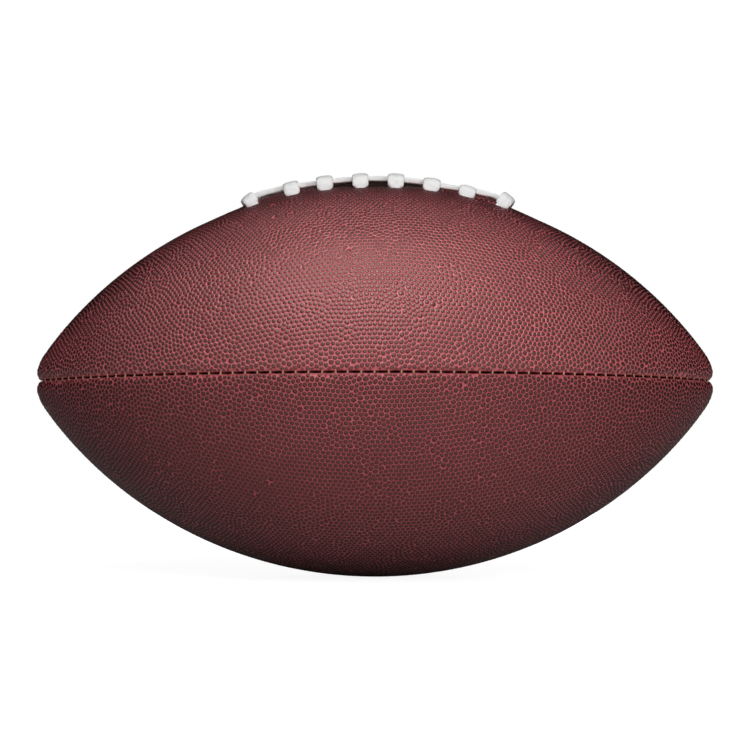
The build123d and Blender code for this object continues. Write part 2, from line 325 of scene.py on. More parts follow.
class StageLook(bpy.types.PropertyGroup):
    """Camera, light and floor"""

    distance: size_setting("Camera distance", "From the ball's middle", 0.68)
    elevation: FloatProperty(
        name="Camera elevation", description="Angle over the horizon", default=math.radians(-2.8),
        subtype="ANGLE")
    image_pixels: IntProperty(
        name="Image size", description="Width and height of the picture", default=750, subtype="PIXEL")
    ball_pixels: FloatProperty(
        name="Ball in picture", description="Length of the ball in the picture", default=673.0,
        subtype="PIXEL")
    aim_rise: size_setting("Aim height", "Middle of the picture over the ball's axis", 0.00266)
    front_power: power_setting("Front light", "Power of the soft light before the ball", 2.4)
    key_power: power_setting("Key light", "Power of the soft light over the camera", 3.0)
    rear_power: power_setting("Rear light", "Power of the soft light behind the ball", 2.8)
    fill_level: factor_setting("Fill", "Level of the even light from all sides", 0.06)


class Value:
    """A number that changes over a surface: arithmetic on it adds the nodes that work it out"""

    def __init__(self, finish, socket):
        self.finish = finish
        self.socket = socket

    def __add__(self, other):
        return self.finish.maths("ADD", self, other)

    def __radd__(self, other):
        return self.finish.maths("ADD", other, self)

    def __sub__(self, other):
        return self.finish.maths("SUBTRACT", self, other)

    def __rsub__(self, other):
        return self.finish.maths("SUBTRACT", other, self)

    def __mul__(self, other):
        return self.finish.maths("MULTIPLY", self, other)

    def __rmul__(self, other):
        return self.finish.maths("MULTIPLY", other, self)

    def clamped(self):
        return self.finish.maths("ADD", self, 0.0, clamp=True)

    def between(self, low, high):
        """Rises from 0 where the value is low to 1 where it is high"""
        return ((self - low) * (1.0 / (high - low))).clamped()


class NodeMaker:
    """Adds nodes to the node tree of a material or of the world"""

    def __init__(self, tree):
        self.tree = tree

    def node(self, kind, settings=None, sockets=None, output=None):
        """Add a node, set it up, feed its sockets and give one of its outputs"""
        made = self.tree.nodes.new(kind)
        for name, value in (settings or {}).items():
            setattr(made, name, value)
        for name, value in (sockets or {}).items():
            self.feed(made, name, value)
        shown = [one for one in made.outputs if one.enabled and output in (None, one.name)]
        return Value(self, shown[0])

    def feed(self, node, name, value):
        """Link a value to a node's socket, or set the socket to a number or colour"""
        socket = next(one for one in node.inputs if one.enabled and name in (one.name, one.identifier))
        if isinstance(value, Value):
            self.tree.links.new(value.socket, socket)
        else:
            socket.default_value = value

    def maths(self, operation, first, second, clamp=False):
        settings = {"operation": operation, "use_clamp": clamp}
        return self.node("ShaderNodeMath", settings, {"Value": first, "Value_001": second})

    def mix(self, share, first, second, blend="MIX"):
        """A colour between two colours"""
        settings = {"data_type": "RGBA", "blend_type": blend}
        return self.node("ShaderNodeMix", settings, {"Factor": share, "A": first, "B": second})

    def along(self, axis, source="Object"):
        """Place of each point along an axis, or of each direction where the source is Generated"""
        place = self.node("ShaderNodeTexCoord", output=source)
        return self.node("ShaderNodeSeparateXYZ", None, {"Vector": place}, axis)

    def ray(self, kind):
        """One where the ray that meets the surface is of this kind, and nought elsewhere"""
        return self.node("ShaderNodeLightPath", output=kind)

    def white_shown(self, behind):
        """One for rays from the camera, and for mirrored rays where the place is behind the ball"""
        mirrored = self.ray("Is Glossy Ray") + self.ray("Is Transmission Ray")
        return (self.ray("Is Camera Ray") + behind * mirrored).clamped()


class Finish(NodeMaker):
    """One material, built up from nodes"""

    def __init__(self, name):
        self.material = bpy.data.materials.new(name)
        self.material.use_nodes = True
        super().__init__(self.material.node_tree)
        self.shader = self.tree.nodes["Principled BSDF"]

    def noise(self, size, detail=2.0, roughness=0.5):
        """Even noise whose features are about this size in metres, from 0 to 1"""
        place = self.node("ShaderNodeTexCoord", output="Object")
        sockets = {"Vector": place, "Scale": 1.0 / size, "Detail": detail, "Roughness": roughness}
        return self.node("ShaderNodeTexNoise", {"noise_dimensions": "3D"}, sockets, "Fac")

    def attribute(self, name):
        return self.node("ShaderNodeAttribute", {"attribute_name": name}, output="Fac")

    def bump(self, height, depth, strength=1.0, under=None):
        """Relief of a depth in metres, over the relief under it where there is one"""
        sockets = {"Height": height, "Distance": depth, "Strength": strength}
        if under is not None:
            sockets["Normal"] = under
        return self.node("ShaderNodeBump", None, sockets)

    def shaded(self, colour, share, tone):
        """A colour made darker or lighter by a tone where the share is full"""
        changed = self.mix(1.0, colour, (tone, tone, tone, 1.0), "MULTIPLY")
        return self.mix(share, colour, changed)

    def towards_tips(self, start):
        """Grows with the square of the distance from the belly, later for a larger start"""
        along = self.along("X")
        return (along * along * TIP_GROWTH - start).clamped()

    def dress(self, **sockets):
        """Feed the main shader: a word such as base_color stands for the socket Base Color"""
        for name, value in sockets.items():
            words = name.replace("_", " ").title().replace("Ior", "IOR")
            self.feed(self.shader, words, value)
        return self.material


class BallForm:
    """The ball's smooth outer form, by run along a long side and turn about the long axis"""

    def __init__(self, ball):
        lobe = ball.groove_tip / ball.groove_slope
        belly = ball.diameter / 2
        self.ball = ball
        self.tip_radius = ball.tip_radius
        self.tip_centre = ball.length / 2 - math.sqrt(ball.tip_radius**2 - 2 * lobe**2)
        spread = self.tip_centre**2 + belly**2 - ball.tip_radius**2
        self.radius = spread / (2 * (belly - ball.tip_radius))
        self.drop = self.radius - belly
        self.tip_angle = math.asin(self.tip_centre / (self.radius - ball.tip_radius))
        self.tip_run = self.radius * self.tip_angle

    def section(self, run):
        """Lean of the surface, place along the axis and distance from the axis at a run"""
        over = np.abs(run) - self.tip_run
        on_tip = over > 0
        lean = np.where(on_tip, self.tip_angle + over / self.tip_radius, np.abs(run) / self.radius)
        lean = np.minimum(lean, math.pi / 2 - 1e-4)
        along_belly = self.radius * np.sin(lean)
        along_tip = self.tip_centre + self.tip_radius * np.sin(lean)
        around_belly = self.radius * np.cos(lean) - self.drop
        around_tip = self.tip_radius * np.cos(lean)
        side = np.sign(run)
        along = side * np.where(on_tip, along_tip, along_belly)
        around = np.where(on_tip, around_tip, around_belly)
        return side * lean, along, around

    def run_at(self, around):
        """The run at which the form is this far from the axis, on a tip"""
        return self.tip_run + self.tip_radius * (math.acos(around / self.tip_radius) - self.tip_angle)

    def groove_depth(self, run):
        """Depth of a seam's valley along its length"""
        share = np.minimum(np.abs(run) / self.tip_run, 1.0) ** 2
        return self.ball.groove_belly + (self.ball.groove_tip - self.ball.groove_belly) * share

    def sunk(self, run, distance):
        """How far a seam at a distance pulls the cover in"""
        depth = self.groove_depth(run)
        reach = GROOVE_REACH * depth / self.ball.groove_slope
        return depth * np.maximum(0.0, 1.0 - distance / reach) ** 2

    def top_place(self, run, across, rise):
        """A point over the top seam, in the ball's frame"""
        lean = np.asarray(run) / self.radius
        height = self.radius + np.asarray(rise)
        x = height * np.sin(lean)
        z = height * np.cos(lean) - self.drop + AXIS_HEIGHT
        return np.stack(np.broadcast_arrays(x, across, z), axis=-1)


class Panel:
    """One cover panel, worked out by run and turn in the quarter between two seams"""

    def __init__(self, form, scene, side_y, side_z, seed):
        self.form = form
        self.ball = form.ball
        self.cover = scene.football_cover
        self.foot_offset = scene.football_lace.foot_offset
        self.foot_width = scene.football_lace.width
        self.pitch = scene.football_thread.pitch
        self.side_y = side_y
        self.side_z = side_z
        self.laced = side_z > 0
        self.valved = side_y > 0 and side_z < 0
        self.random = np.random.default_rng(seed)

    def upright_lip(self, run):
        """Distance of the panel's edge from the upright seam plane, wider along the laced slit"""
        gap = self.level_lip(run)
        if not self.laced:
            return gap
        share = np.clip(1.0 - (run / self.ball.slit_half_length) ** 2, 0.0, 1.0)
        return np.maximum(gap, self.ball.slit_half_width * share)

    def level_lip(self, run):
        """Distance of a panel's edge from a seam plane, pinched at each stitch"""
        wave = np.cos(2 * math.pi * run / self.pitch)
        drawn = 1.0 - LIP_DRAW * np.minimum(np.abs(run) / self.form.tip_run, 1.0) ** 2
        return self.ball.seam_gap / 2 * drawn * (LIP_MEAN - LIP_WAVE * wave)

    def turns(self, run, margin):
        """First and last turn of the panel at a run, held in from its edges by a margin"""
        around = self.form.section(run)[2]
        first = np.arcsin(np.clip((self.upright_lip(run) + margin) / around, 0.0, CORNER_SINE))
        last = math.pi / 2 - np.arcsin(np.clip((self.level_lip(run) + margin) / around, 0.0, CORNER_SINE))
        return first, last

    def corner_run(self, margin):
        """The run at which the panel's two edges meet on a tip"""
        return self.form.run_at(math.sqrt(2) * (self.ball.seam_gap / 2 + margin))

    def directions(self, run, turn):
        """Place on the smooth form, outward, lengthwise and crosswise directions, distance from the axis"""
        lean, along, around = self.form.section(run)
        sin_lean, cos_lean = np.sin(lean), np.cos(lean)
        sin_turn, cos_turn = np.sin(turn), np.cos(turn)
        nothing = np.zeros_like(lean)
        place = np.stack([along, around * sin_turn, around * cos_turn], axis=-1)
        outward = np.stack([sin_lean, cos_lean * sin_turn, cos_lean * cos_turn], axis=-1)
        lengthwise = np.stack([cos_lean, -sin_lean * sin_turn, -sin_lean * cos_turn], axis=-1)
        crosswise = np.stack([nothing, cos_turn, -sin_turn], axis=-1)
        return place, outward, lengthwise, crosswise, around

    def breadth(self, run, turn):
        """Distance across the panel from its middle line"""
        return (turn - MIDDLE_TURN) * self.form.section(run)[2]

    def dents(self, place):
        """Dents at the eyelets, the fold between the last two, and how near each point is to one, for their
        painted shade
        """
        sunk = np.zeros(len(place))
        near = np.zeros(len(place))
        if not self.laced:
            return sunk, near
        for run in BAR_RUNS:
            x = self.form.radius * math.sin(run / self.form.radius)
            along = (place[:, 0] - x) / (DENT_LENGTH * self.foot_width)
            across = (place[:, 1] - self.foot_offset) / (DENT_BREADTH * self.foot_width)
            share = np.exp(-(along**2) - across**2)
            sunk += DENT_DEPTH * share
            near = np.maximum(near, share)
        start, end = BAR_RUNS[-2:]
        across = (place[:, 1] - self.foot_offset) / FOLD_WIDTH
        inside = np.minimum(place[:, 0] - start, end - place[:, 0]) / FOLD_FADE
        fold = np.exp(-(across**2)) * np.clip(inside, 0.0, 1.0)
        return sunk + FOLD_DEPTH * fold, np.maximum(near, fold)

    def surface(self, run, turn, height, depth=0.0):
        """Points of the cover at a height over its valleys, and the painted shade of each at tucked edges,
        dents and the fold
        """
        place, outward = self.directions(run, turn)[:2]
        upright = np.abs(place[:, 1])
        level = np.abs(place[:, 2])
        pulled = self.form.sunk(run, upright) + self.form.sunk(run, level)
        dent, near = self.dents(place)
        move = height - self.relief(run, turn) - pulled - dent - depth
        if self.laced:
            lift = np.interp(run, LIFT_RUNS, LIFTS)
            move = move + lift * np.exp(-((upright / LIFT_REACH) ** 2))
        points = place + outward * move[:, None]
        # Painted shade: strongest at the panel's tucked edges, and also in the eyelet dents and the fold
        edge = np.minimum(upright - self.upright_lip(run), level - self.level_lip(run))
        tuck = np.clip(1.0 - edge / CREASE_SHADE_REACH, 0.0, 1.0)
        tuck = np.maximum(tuck, DENT_SHADE * near)
        points = points * np.array([1.0, self.side_y, self.side_z])
        points[:, 2] += AXIS_HEIGHT
        return points, tuck

    def crowning(self, turn):
        """How near points are to the upright seam, from 0 to 1"""
        return np.clip(1.0 - turn / CROWN_TURN, 0.0, 1.0)

    def relief(self, run, turn):
        """Height of the pebbles, which lie flatter by the upright seam and at the tips"""
        tip = np.clip((np.abs(run) / self.form.tip_run - FLAT_TIP_START) / FLAT_TIP_SPAN, 0.0, 1.0)
        flat = np.maximum(self.crowning(turn), tip)
        return self.cover.pebble_height * (1.0 - FLATTENING * flat)

    def start_pebbles(self, margin):
        """A rough lattice of pebble places, shaken so that its rows break up"""
        step = self.cover.spacing
        rows = np.arange(-ROWS_REACH, ROWS_REACH, step * math.sqrt(0.75))
        end = self.corner_run(margin)
        runs, breadths = [], []
        for index, breadth in enumerate(rows):
            row = np.arange(-end, end, step) + (index % 2) * step / 2
            runs.append(row)
            breadths.append(np.full_like(row, breadth))
        run = np.concatenate(runs)
        breadth = np.concatenate(breadths)
        run = run + self.random.normal(0.0, PEBBLE_SHAKE * step, len(run))
        breadth = breadth + self.random.normal(0.0, PEBBLE_SHAKE * step, len(breadth))
        run = np.clip(run, -end, end)
        turn = MIDDLE_TURN + breadth / self.form.section(run)[2]
        first, last = self.turns(run, margin)
        inside = (turn > first) & (turn < last)
        return run[inside], turn[inside]

    def spread_pebbles(self, run, turn, margin):
        """Push pebbles apart until they lie evenly"""
        step = PUSH_REACH * self.cover.spacing
        end = self.corner_run(margin)
        for sweep in range(PUSH_SWEEPS):
            place, _, lengthwise, crosswise, around = self.directions(run, turn)
            if sweep % PUSH_REFRESH == 0:
                one, two = self.near_pairs(place, PUSH_LOOK * step)
            apart = place[one] - place[two]
            distance = np.maximum(np.linalg.norm(apart, axis=1), 1e-6)
            push = PUSH_SHARE * np.maximum(step - distance, 0.0) / distance
            move = np.zeros_like(place)
            np.add.at(move, one, apart * push[:, None])
            np.add.at(move, two, -apart * push[:, None])
            run = np.clip(run + np.sum(move * lengthwise, axis=1), -end, end)
            turn = turn + np.sum(move * crosswise, axis=1) / around
            first, last = self.turns(run, margin)
            turn = np.clip(turn, first, last)
        if self.valved:
            place = self.directions(run, turn)[0]
            middle = self.directions(np.zeros(1), np.full(1, MIDDLE_TURN))[0]
            clear = np.linalg.norm(place - middle, axis=1) > self.ball.valve_radius + VALVE_RIM
            run, turn = run[clear], turn[clear]
        return run, turn

    def near_pairs(self, place, reach):
        """Pairs of places that lie within reach of each other"""
        tree = KDTree(len(place))
        for index, point in enumerate(place):
            tree.insert(point, index)
        tree.balance()
        one, two = [], []
        for index, point in enumerate(place):
            for found in tree.find_range(point, reach):
                if found[1] > index:
                    one.append(index)
                    two.append(found[1])
        return np.array(one), np.array(two)

    def edge_rows(self):
        """Points round the panel's two edges: rows over the lip and down the turned-in wall"""
        share = np.linspace(-1.0, 1.0, LIP_POINTS)
        lip = self.ball.lip_round
        steps = [(margin * lip, depth * lip) for margin, depth in LIP_ROLL]
        rows = []
        for margin, depth in steps + [(0.0, self.ball.seam_depth)]:
            run = share * self.corner_run(margin)
            first, last = self.turns(run, margin)
            rows.append((run, first, last, depth))
        return rows

    def valve_ring(self):
        """Runs and turns of a ring round the valve's opening"""
        angle = np.linspace(0.0, 2 * math.pi, VALVE_POINTS, endpoint=False)
        radius = self.ball.valve_radius
        return radius * np.cos(angle), MIDDLE_TURN + radius * np.sin(angle) / (self.ball.diameter / 2)

    def level_map(self, run):
        """Stretches runs so that angles between near points keep true in run and turn"""
        end = self.form.run_at(MAP_END)
        grid = np.linspace(-end, end, MAP_POINTS)
        around = self.form.section(grid)[2]
        slices = np.diff(grid) * 2 / (around[1:] + around[:-1])
        total = np.concatenate([[0.0], np.cumsum(slices)])
        return np.interp(run, grid, total - total[MAP_POINTS // 2])

    def triangles(self, spots):
        """Triangles between near spots, those outside the panel left out"""
        flat = np.stack([self.level_map(spots[:, 0]), spots[:, 1]], axis=-1)
        found = delaunay_2d_cdt([Vector(point) for point in flat.tolist()], [], [], 0, 1e-9)
        origin = np.array([group[0] for group in found[3]])
        corners = origin[np.array(found[2])]
        middle_run, middle_turn = spots[corners].mean(axis=1).T
        first, last = self.turns(middle_run, EDGE_HOLD * self.ball.lip_round)
        inside = (middle_turn > first) & (middle_turn < last)
        if self.valved:
            reach = np.hypot(middle_run, (middle_turn - MIDDLE_TURN) * self.ball.diameter / 2)
            inside &= reach > self.ball.valve_radius
        corners = corners[inside]
        first_side = flat[corners[:, 1]] - flat[corners[:, 0]]
        second_side = flat[corners[:, 2]] - flat[corners[:, 0]]
        turned = first_side[:, 0] * second_side[:, 1] - first_side[:, 1] * second_side[:, 0] < 0
        corners[turned] = corners[turned][:, ::-1]
        return corners

    def grain_faces(self, corners, is_pebble):
        """Faces of the pebbles' tops and skirts and of the plain ground between them"""
        valley_start = len(is_pebble)
        shoulder_start = valley_start + len(corners)
        numbers = np.arange(len(corners))
        beside = np.repeat(numbers, 3)
        starts = corners.reshape(-1)
        ends = corners[:, [1, 2, 0]].reshape(-1)
        corner_of_end = (numbers[:, None] * 3 + np.array([1, 2, 0])).reshape(-1)

        # Each edge between two points has a triangle on its left and one on its right
        key = starts.astype(np.int64) * valley_start + ends
        back = ends.astype(np.int64) * valley_start + starts
        order = np.argsort(key)
        found = np.clip(np.searchsorted(key[order], back), 0, len(key) - 1)
        other = order[found]
        paired = key[other] == back
        half = np.nonzero(paired)[0]
        left = valley_start + beside[half]
        right = valley_start + beside[other[half]]
        left_shoulder = shoulder_start + half
        right_shoulder = shoulder_start + corner_of_end[other[half]]
        point = starts[half]
        on_pebble = is_pebble[point]
        tops = np.stack([point, right_shoulder, left_shoulder], axis=-1)[on_pebble]
        skirts = np.stack([right_shoulder, right, left, left_shoulder], axis=-1)[on_pebble]
        plains = np.stack([point, right, left], axis=-1)[~on_pebble]
        lone = np.nonzero(~paired)[0]
        borders = np.stack([starts[lone], ends[lone], valley_start + beside[lone]], axis=-1)
        return tops.tolist() + skirts.tolist() + plains.tolist() + borders.tolist()

    def walls(self, rows, start):
        """Points, turns, flat map and faces of both edges, which roll over the lip and go down"""
        points, turns, flat_map, faces = [], [], [], []
        numbers = np.arange(LIP_POINTS)
        for side, away in ((0, -1.0), (1, 1.0)):
            grids = []
            for run, *edges, depth in rows:
                turn = edges[side]
                points.append(self.surface(run, turn, np.zeros(LIP_POINTS), depth)[0])
                turns.append(turn)
                breadth = self.breadth(run, turn) + away * (depth + self.ball.lip_round)
                flat_map.append(np.stack([run, breadth], axis=-1))
                grids.append(start + numbers)
                start += LIP_POINTS
            for upper, lower in zip(grids[:-1], grids[1:]):
                quads = np.stack([upper[:-1], upper[1:], lower[1:], lower[:-1]], axis=-1)
                faces += (quads if side else quads[:, ::-1]).tolist()
        return np.concatenate(points), np.concatenate(turns), np.concatenate(flat_map), faces

    def mesh(self):
        """All points and faces of the panel, the values that its finish reads, and its flat map"""
        margin = self.ball.lip_round + PEBBLE_MARGIN
        run, turn = self.spread_pebbles(*self.start_pebbles(margin), margin)
        pebbles = len(run)
        rows = self.edge_rows()
        edge_run, first, last = rows[0][:3]
        groups = [(run, turn), (edge_run, first), (edge_run[1:-1], last[1:-1])]
        if self.valved:
            groups.append(self.valve_ring())
        spots = np.concatenate([np.stack(group, axis=-1) for group in groups])
        is_pebble = np.arange(len(spots)) < pebbles
        corners = self.triangles(spots)

        # A valley spot in the middle of each triangle, a shoulder spot for each pebble beside it
        valleys = spots[corners].mean(axis=1)
        owner = corners.reshape(-1)
        beside = np.repeat(np.arange(len(corners)), 3)
        place = self.directions(*spots.T)[0]
        valley_place = self.directions(*valleys.T)[0]
        spread = np.linalg.norm(place[owner] - valley_place[beside], axis=1)
        size = self.random.uniform(*PEBBLE_SIZES, len(spots)) * self.cover.pebble_radius
        share = np.minimum(size[owner] / np.maximum(spread, 1e-7), SHOULDER_REACH)
        shoulders = spots[owner] + share[:, None] * (valleys[beside] - spots[owner])
        lift = self.random.uniform(*PEBBLE_HEIGHTS, len(spots)) * self.relief(*spots.T) * is_pebble

        run, turn = np.concatenate([spots, valleys, shoulders]).T
        in_valley = np.zeros(len(corners))
        height = np.concatenate([lift, in_valley, SHOULDER_HEIGHT * lift[owner]])
        points, tuck = self.surface(run, turn, height)
        wall_points, wall_turn, wall_map, wall_faces = self.walls(rows, len(points))
        on_wall = np.zeros(len(wall_points))
        parts = {
            "pebble": [is_pebble, in_valley, SHOULDER_VALUE * is_pebble[owner], on_wall],
            # Painted shade, full on the turned-in seam walls
            "tuck": [tuck, on_wall + 1.0],
            "crown": [self.crowning(turn), self.crowning(wall_turn)],
            "shoulder": [np.zeros(len(spots)), in_valley, np.ones(len(owner)), on_wall],
        }
        values = {word: np.concatenate(part) for word, part in parts.items()}
        flat_map = np.stack([run, self.breadth(run, turn)], axis=-1)
        faces = self.grain_faces(corners, is_pebble) + wall_faces
        if self.side_y * self.side_z < 0:
            faces = [face[::-1] for face in faces]
        return np.concatenate([points, wall_points]), faces, values, np.concatenate([flat_map, wall_map])


def add_object(name, data):
    """Put an object with this mesh, lamp or camera into the scene"""
    made = bpy.data.objects.new(name, data)
    bpy.context.scene.collection.objects.link(made)
    return made


def make_piece(name, points, faces, material, nodes, values=None, flat_map=None):
    """Make one piece from points and faces, dress it and seat it on the ball"""
    mesh = bpy.data.meshes.new(name)
    mesh.from_pydata(np.asarray(points).tolist(), [], faces)
    mesh.shade_smooth()
    for word, numbers in (values or {}).items():
        layer = mesh.attributes.new(word, "FLOAT", "POINT")
        layer.data.foreach_set("value", np.asarray(numbers, dtype=np.float32))
    if flat_map is not None:
        low, high = flat_map.min(axis=0), flat_map.max(axis=0)
        spread = MAP_MARGIN + (1.0 - 2.0 * MAP_MARGIN) * (flat_map - low) / (high - low)
        loops = np.empty(len(mesh.loops), dtype=np.int32)
        mesh.loops.foreach_get("vertex_index", loops)
        layer = mesh.uv_layers.new(name="OFBake")
        layer.uv.foreach_set("vector", spread[loops].astype(np.float32).reshape(-1))
    mesh.materials.append(material)
    piece = add_object(name, mesh)
    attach(piece, BODY)
    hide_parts(*nodes)
    return piece


def sharpen(mesh, on_shoulder):
    """Make the edges round each pebble's top crisp"""
    ends = np.empty(2 * len(mesh.edges), dtype=np.int32)
    mesh.edges.foreach_get("vertices", ends)
    crisp = on_shoulder[ends].reshape(-1, 2).min(axis=1) > 0.5
    layer = mesh.attributes.new("sharp_edge", "BOOLEAN", "EDGE")
    layer.data.foreach_set("value", crisp)


def soft_line(corners, count):
    """A soft line past its corner points, as points at even steps and the direction at each"""
    line = np.asarray(corners, dtype=float)
    for _ in range(SMOOTH_ROUNDS):
        near = 0.75 * line[:-1] + 0.25 * line[1:]
        far = 0.25 * line[:-1] + 0.75 * line[1:]
        inner = np.stack([near, far], axis=1).reshape(-1, line.shape[1])
        line = np.concatenate([line[:1], inner, line[-1:]])
    steps = np.concatenate([[0.0], np.cumsum(np.linalg.norm(np.diff(line, axis=0), axis=1))])
    even = np.linspace(0.0, steps[-1], count)
    line = np.stack([np.interp(even, steps, part) for part in line.T], axis=-1)
    direction = np.gradient(line, axis=0)
    return line, direction / np.linalg.norm(direction, axis=1)[:, None]


def lumpy(ring):
    """A ring of points pushed in and out by the lace's grain"""
    away = ring - ring.mean(axis=0)
    away /= np.linalg.norm(away, axis=1)[:, None]
    push = [noise.noise(Vector(point) / LACE_LUMP_SIZE) for point in ring.tolist()]
    return ring + away * (LACE_LUMP * np.array(push))[:, None]


def tube_faces(rings, sides, start):
    """Faces of a closed tube of rings, with both ends filled"""
    faces = []
    for low in range(start, start + (rings - 1) * sides, sides):
        for side in range(sides):
            after = (side + 1) % sides
            faces.append([low + side, low + after, low + sides + after, low + sides + side])
    last = start + (rings - 1) * sides
    faces.append(list(range(start, start + sides))[::-1])
    faces.append(list(range(last, last + sides)))
    return faces


def soft_section(width, thickness, squareness):
    """Outline of a flat lace with soft edges, across and through"""
    angle = np.linspace(0.0, 2 * math.pi, LACE_SIDES, endpoint=False)
    power = 2.0 / squareness
    across = np.sign(np.cos(angle)) * np.abs(np.cos(angle)) ** power * width / 2
    through = np.sign(np.sin(angle)) * np.abs(np.sin(angle)) ** power * thickness / 2
    return across, through


def toned(colour, tone):
    """A colour made darker or lighter"""
    return (*(tone * part for part in colour[:3]), 1.0)


def grained_finish(name, colours, size, roughness, swing, depth=None, detail=3.0, strength=1.0, **more):
    """A plain finish whose two colours, gloss and any relief follow one even grain"""
    finish = Finish(name)
    grain = finish.noise(size, detail)
    colour = finish.mix(grain, *((*part[:3], 1.0) for part in colours))
    rough = roughness + swing * (grain - 0.5)
    if depth is not None:
        more["normal"] = finish.bump(grain, depth, strength)
    return finish.dress(base_color=colour, roughness=rough, **more)


def cover_finish(name, cover, tone, pebble_tone, shine):
    """Leather with dark worn pebbles over red valleys; painted shade darkens the pebbles to the tips and
    upright seams, and painted light brightens the valleys by the upright seams
    """
    finish = Finish(name)
    pebble = finish.attribute("pebble")
    tuck = finish.attribute("tuck")
    crown = finish.attribute("crown")
    broad = finish.noise(35.0 * MM, 3.0)
    fine = finish.noise(1.6 * MM, 3.0)
    grain = finish.noise(0.35 * MM, 2.0)
    ragged = pebble + RAGGED_SHARE * (fine - 0.5)
    rim = ragged.between(*FLANK_SHADE_STEP)
    top = ragged.between(*TOP_STEP)
    # Painted shade that grows towards the tips, on valleys and pebbles
    shadowed = finish.towards_tips(TIP_START)
    valley_dull = toned(cover.valley_colour, DULL_VALLEY * tone)
    valley = finish.mix(broad.between(0.1875, 0.8125), toned(cover.valley_colour, tone), valley_dull)
    valley = finish.shaded(valley, shadowed, cover.tip_shade_tone)
    # Painted light: valleys lightened beside the upright seams
    valley = finish.shaded(valley, crown, cover.crown_light_tone)
    worn = toned(cover.pebble_colour, pebble_tone)
    worn_dull = toned(cover.pebble_colour, DULL_PEBBLE * pebble_tone)
    worn = finish.mix(fine.between(0.2222, 0.7778), worn, worn_dull)
    # Painted shade on the pebbles' steep sides round their tops, where the rim mask is full
    dots = finish.mix(top, toned(cover.flank_shade_colour, tone), worn)
    # Painted shade: pebbles darkened towards the tips and, more strongly, beside the upright seams
    dots = finish.shaded(dots, (shadowed + CROWN_SHADE_SHARE * crown).clamped(), cover.edge_shade_tone)
    colour = finish.mix(rim, valley, dots)
    # Painted shade darkens the tucked edges, seam walls, dents and fold
    colour = finish.mix(CREASE_SHADE_SHARE * tuck, colour, toned(cover.flank_shade_colour, CREASE_SHADE_TONE * tone))
    rough = cover.valley_roughness + (cover.pebble_roughness - cover.valley_roughness) * top
    rough = rough + GLOSS_SWING * (fine - 0.5)
    dome = finish.bump(pebble, 0.12 * MM)
    bump = finish.bump(grain, 0.04 * MM, 0.6, dome)
    return finish.dress(
        base_color=colour, roughness=rough, normal=bump, ior=1.8, specular_ior_level=shine,
        specular_tint=tuple(cover.sheen_colour))


class FOOTBALL_OT_cover(bpy.types.Operator):
    """Make the four pebbled cover panels"""

    bl_idname = "football.make_cover"
    bl_label = "Cover panels"

    def execute(self, context):
        scene = context.scene
        form = BallForm(scene.football_shape)
        cover = scene.football_cover
        # Lit and shaded copies of one leather, the lower one darkened as painted shade
        lower_look = (cover.lower_shade_tone, cover.lower_pebble_shade_tone, cover.lower_shine)
        upper = cover_finish("upper_leather", cover, 1.0, 1.0, cover.shine)
        lower = cover_finish("lower_leather", cover, *lower_look)
        for node, side_y, side_z, seed in PANELS:
            panel = Panel(form, scene, side_y, side_z, seed)
            points, faces, values, flat_map = panel.mesh()
            material = upper if side_z > 0 else lower
            piece = make_piece("panel_" + node, points, faces, material, [node], values, flat_map)
            sharpen(piece.data, values["shoulder"])
        return {"FINISHED"}


def thread_finish(thread):
    """Waxed twisted thread"""
    finish = Finish("waxed_thread")
    fibre = finish.noise(0.4 * MM, 3.0)
    broad = finish.noise(12.0 * MM)
    colour = finish.mix(fibre, tuple(thread.colour), THREAD_DARK)
    colour = finish.mix(broad.between(0.3333, 1.1667), colour, THREAD_WORN)
    # Painted shade on the thread towards the tips
    colour = finish.shaded(colour, finish.towards_tips(THREAD_TIP_START), thread.tip_shade_tone)
    bump = finish.bump(fibre, 0.05 * MM)
    return finish.dress(base_color=colour, roughness=0.5 + 0.2 * fibre, normal=bump)


def stitch(form, run, ply_radius, random):
    """Points of one stitch across the top seam: two twisted plies over both lips"""
    reach = random.uniform(*STITCH_REACH)
    slant = random.uniform(-STITCH_SLANT, STITCH_SLANT)
    across = np.linspace(-reach, reach, STITCH_RINGS)[:, None]
    depth = form.sunk(run, np.maximum(np.abs(across), STITCH_FLOOR))
    share = np.abs(across) / reach
    rise = STITCH_RISE - depth - STITCH_FALL * share**4 - STITCH_DIP * (1 - share)
    sides = np.linspace(0.0, 2 * math.pi, STITCH_SIDES, endpoint=False)
    plies = []
    for ply in (0.0, math.pi):
        twist = ply + STITCH_TWIST * across
        ring_run = run + slant * across + ply_radius * (PLY_OFFSET * np.cos(twist) + np.cos(sides))
        ring_rise = rise + ply_radius * (PLY_OFFSET * np.sin(twist) + np.sin(sides))
        plies.append(form.top_place(ring_run, across, ring_rise).reshape(-1, 3))
    return np.concatenate(plies)


